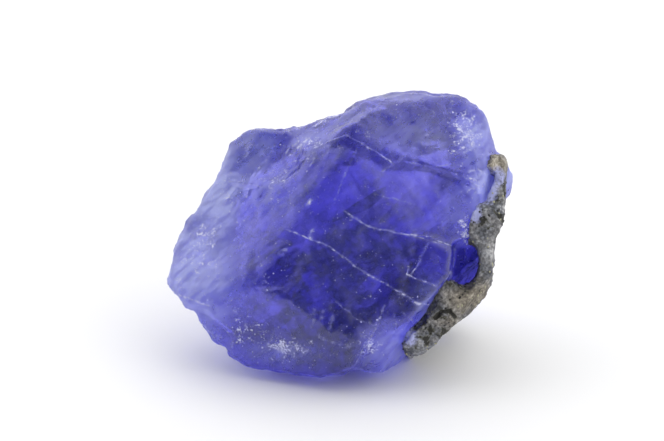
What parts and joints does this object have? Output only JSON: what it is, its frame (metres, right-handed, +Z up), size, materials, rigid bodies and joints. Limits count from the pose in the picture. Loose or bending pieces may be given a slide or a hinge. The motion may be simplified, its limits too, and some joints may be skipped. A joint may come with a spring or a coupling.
{
  "type": "rough tanzanite crystal",
  "caption": "Broken transparent violet-blue gem crystal with a crust of grey host rock down one side, resting on a small flat underneath.",
  "frame": {"origin": "centre of the bounding box at the resting flat, on the surface that the stone stands on", "axes": "+X to the right along the stone's longest side, +Y away from the viewer of the broad face, +Z up"},
  "size_m": [0.0238, 0.0168, 0.0178],
  "materials": {
    "tanzanite": "gloss",
    "host_rock": "matte"
  },
  "bodies": {
    "root": {"tanzanite_crystal": "tanzanite", "matrix_rind": "host_rock"}
  },
  "joints": []
}
